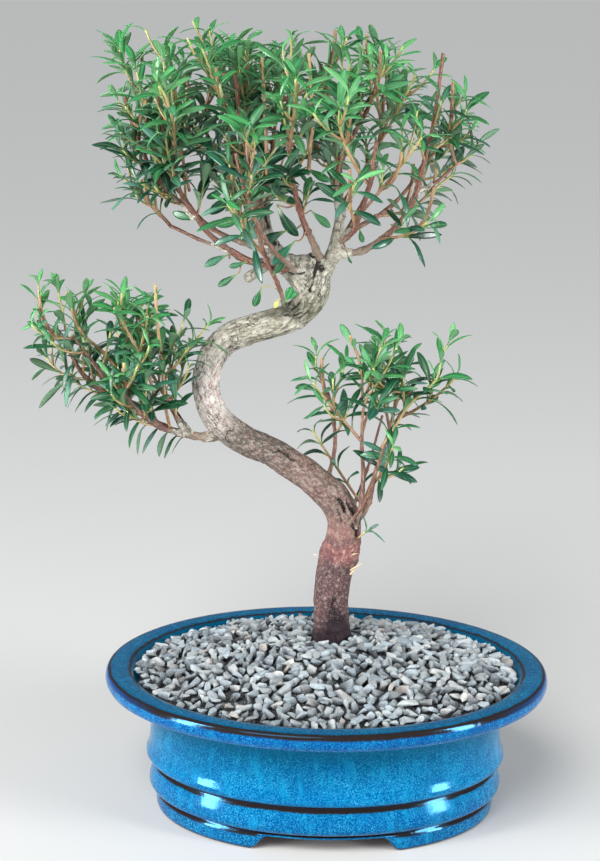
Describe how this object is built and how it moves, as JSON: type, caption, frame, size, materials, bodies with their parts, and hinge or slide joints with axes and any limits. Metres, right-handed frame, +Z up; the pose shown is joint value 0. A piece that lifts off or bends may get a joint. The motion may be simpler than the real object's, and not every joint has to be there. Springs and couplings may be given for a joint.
{
  "type": "potted myrtle bonsai",
  "caption": "Bonsai myrtle with an S-curved trunk, domed crown and two side pads of narrow leaves, in an oval glazed pot on bracket feet with gravel.",
  "frame": {"origin": "bottom centre of the object's bounding box, on the plane that the pot's feet stand on", "axes": "+Z up the tree, X along the pot's length with the left pad towards -X, -Y the front that the picture shows"},
  "size_m": [0.4124, 0.266, 0.615],
  "materials": {
    "glaze": "mottled blue gloss glaze, brown where it thins on edges and in grooves",
    "bark": "rough flaking grey-brown bark, redder low down",
    "leaf": "leathery green leaf with a waxy sheen, on yellow-green stems",
    "gravel": "crushed grey stone",
    "earth": "dark granular soil",
    "screen": "matte mesh"
  },
  "bodies": {
    "root": {"pot": "glaze", "drain_screen_left": "screen", "drain_screen_right": "screen", "soil": "earth", "gravel": "gravel", "trunk": "bark", "crown_spray_01": "leaf", "crown_spray_02": "leaf", "crown_spray_03": "leaf", "crown_spray_04": "leaf", "crown_spray_05": "leaf", "crown_spray_06": "leaf", "crown_spray_07": "leaf", "crown_spray_08": "leaf", "crown_spray_09": "leaf", "crown_spray_10": "leaf", "crown_spray_11": "leaf", "crown_spray_12": "leaf", "crown_spray_13": "leaf", "crown_spray_14": "leaf", "crown_spray_15": "leaf", "crown_spray_16": "leaf", "crown_spray_17": "leaf", "crown_spray_18": "leaf", "crown_spray_19": "leaf", "crown_spray_20": "leaf", "crown_spray_21": "leaf", "crown_spray_22": "leaf", "crown_spray_23": "leaf", "crown_spray_24": "leaf", "crown_spray_25": "leaf", "crown_spray_26": "leaf", "crown_spray_27": "leaf", "crown_spray_28": "leaf", "crown_spray_29": "leaf", "crown_spray_30": "leaf", "crown_spray_31": "leaf", "crown_spray_32": "leaf", "crown_spray_33": "leaf", "crown_spray_34": "leaf", "crown_spray_35": "leaf", "left_spray_01": "leaf", "left_spray_02": "leaf", "left_spray_03": "leaf", "left_spray_04": "leaf", "left_spray_05": "leaf", "left_spray_06": "leaf", "left_spray_07": "leaf", "left_spray_08": "leaf", "left_spray_09": "leaf", "left_spray_10": "leaf", "left_spray_11": "leaf", "right_spray_01": "leaf", "right_spray_02": "leaf", "right_spray_03": "leaf", "right_spray_04": "leaf", "right_spray_05": "leaf", "right_spray_06": "leaf", "right_spray_07": "leaf", "right_spray_08": "leaf"}
  },
  "joints": []
}
